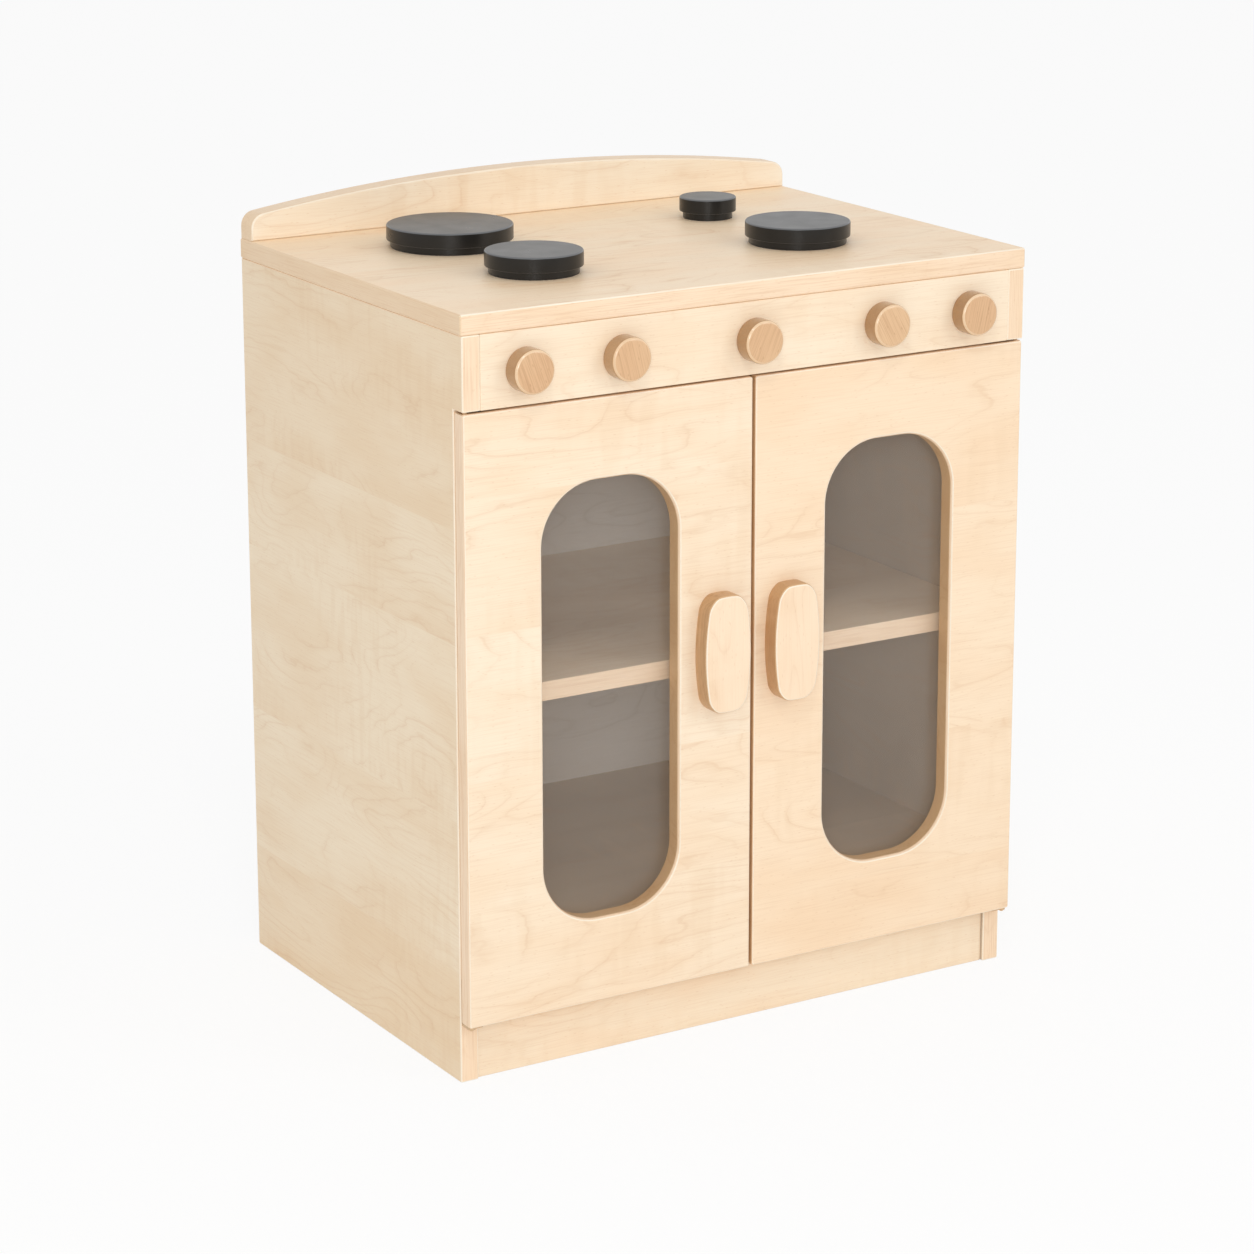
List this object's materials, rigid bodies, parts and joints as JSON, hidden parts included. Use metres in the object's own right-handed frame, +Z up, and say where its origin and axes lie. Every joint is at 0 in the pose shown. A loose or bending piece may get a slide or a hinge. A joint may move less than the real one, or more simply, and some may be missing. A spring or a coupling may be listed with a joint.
{
  "type": "toy oven",
  "caption": "Wooden play cooker: a maple cabinet with windowed swing doors, turning knobs, round black hob plates and an arched upstand behind the worktop.",
  "frame": {"origin": "on the floor, under the middle of the cooker's width and depth, knobs and handles included", "axes": "+X to the right as seen from the front, +Y from the doors towards the back, +Z up"},
  "size_m": [0.6, 0.4484, 0.754],
  "materials": {
    "cabinet_wood": "clear satin lacquer on light maple boards",
    "side_wood": "clear satin lacquer on light maple boards",
    "door_wood": "clear satin lacquer on light maple boards",
    "handle_wood": "clear satin lacquer on light maple",
    "knob_wood": "turned beech, oiled satin",
    "back_board": "light veneered board, matt",
    "dowel_wood": "turned beech, bare",
    "hob_black": "turned wood, satin black paint",
    "window_pane": "clear smoked sheet, polished",
    "zinc_steel": "bright zinc plate",
    "magnet_steel": "bare steel",
    "catch_plastic": "moulded, satin"
  },
  "bodies": {
    "cabinet": {"left_side_panel": "side_wood", "right_side_panel": "side_wood", "worktop": "cabinet_wood", "upstand": "cabinet_wood", "control_panel": "cabinet_wood", "oven_floor": "cabinet_wood", "shelf": "cabinet_wood", "plinth": "cabinet_wood", "back_panel": "back_board", "shelf_pins": "zinc_steel", "carcass_dowels": "dowel_wood", "upstand_dowels": "dowel_wood", "back_panel_screws": "zinc_steel", "hob_screws": "zinc_steel", "upper_pivot_plates": "zinc_steel", "lower_pivot_brackets": "zinc_steel", "pivot_plate_screws": "zinc_steel", "catch_bodies": "catch_plastic", "catch_magnets": "magnet_steel", "catch_screws": "zinc_steel", "hob_plate_back_left": "hob_black", "hob_plate_front_left": "hob_black", "hob_plate_back_right": "hob_black", "hob_plate_front_right": "hob_black", "hob_base_back_left": "hob_black", "hob_base_front_left": "hob_black", "hob_base_back_right": "hob_black", "hob_base_front_right": "hob_black"},
    "left_door": {"left_door_panel": "door_wood", "left_pane": "window_pane", "left_pane_screws": "zinc_steel", "left_handle": "handle_wood", "left_handle_screws": "zinc_steel", "left_pivots": "zinc_steel", "left_door_screws": "zinc_steel", "left_strike": "zinc_steel"},
    "right_door": {"right_door_panel": "door_wood", "right_pane": "window_pane", "right_pane_screws": "zinc_steel", "right_handle": "handle_wood", "right_handle_screws": "zinc_steel", "right_pivots": "zinc_steel", "right_door_screws": "zinc_steel", "right_strike": "zinc_steel"},
    "knob_1_turning": {"knob_1": "knob_wood", "spindle_1": "zinc_steel"},
    "knob_2_turning": {"knob_2": "knob_wood", "spindle_2": "zinc_steel"},
    "knob_3_turning": {"knob_3": "knob_wood", "spindle_3": "zinc_steel"},
    "knob_4_turning": {"knob_4": "knob_wood", "spindle_4": "zinc_steel"},
    "knob_5_turning": {"knob_5": "knob_wood", "spindle_5": "zinc_steel"}
  },
  "joints": [
    {"name": "left_door_swing", "type": "hinge", "parent": "cabinet", "child": "left_door", "pos_m": [-0.294, -0.20035, 0.338], "axis": [0, 0, -1], "range_deg": [0, 180]},
    {"name": "right_door_swing", "type": "hinge", "parent": "cabinet", "child": "right_door", "pos_m": [0.294, -0.20035, 0.338], "axis": [0, 0, 1], "range_deg": [0, 180]},
    {"name": "knob_1_turn", "type": "hinge", "parent": "cabinet", "child": "knob_1_turning", "pos_m": [-0.2365, -0.20585, 0.653], "axis": [0, -1, 0], "continuous": true},
    {"name": "knob_2_turn", "type": "hinge", "parent": "cabinet", "child": "knob_2_turning", "pos_m": [-0.1385, -0.20585, 0.653], "axis": [0, -1, 0], "continuous": true},
    {"name": "knob_3_turn", "type": "hinge", "parent": "cabinet", "child": "knob_3_turning", "pos_m": [0, -0.20585, 0.653], "axis": [0, -1, 0], "continuous": true},
    {"name": "knob_4_turn", "type": "hinge", "parent": "cabinet", "child": "knob_4_turning", "pos_m": [0.1385, -0.20585, 0.653], "axis": [0, -1, 0], "continuous": true},
    {"name": "knob_5_turn", "type": "hinge", "parent": "cabinet", "child": "knob_5_turning", "pos_m": [0.2365, -0.20585, 0.653], "axis": [0, -1, 0], "continuous": true}
  ]
}
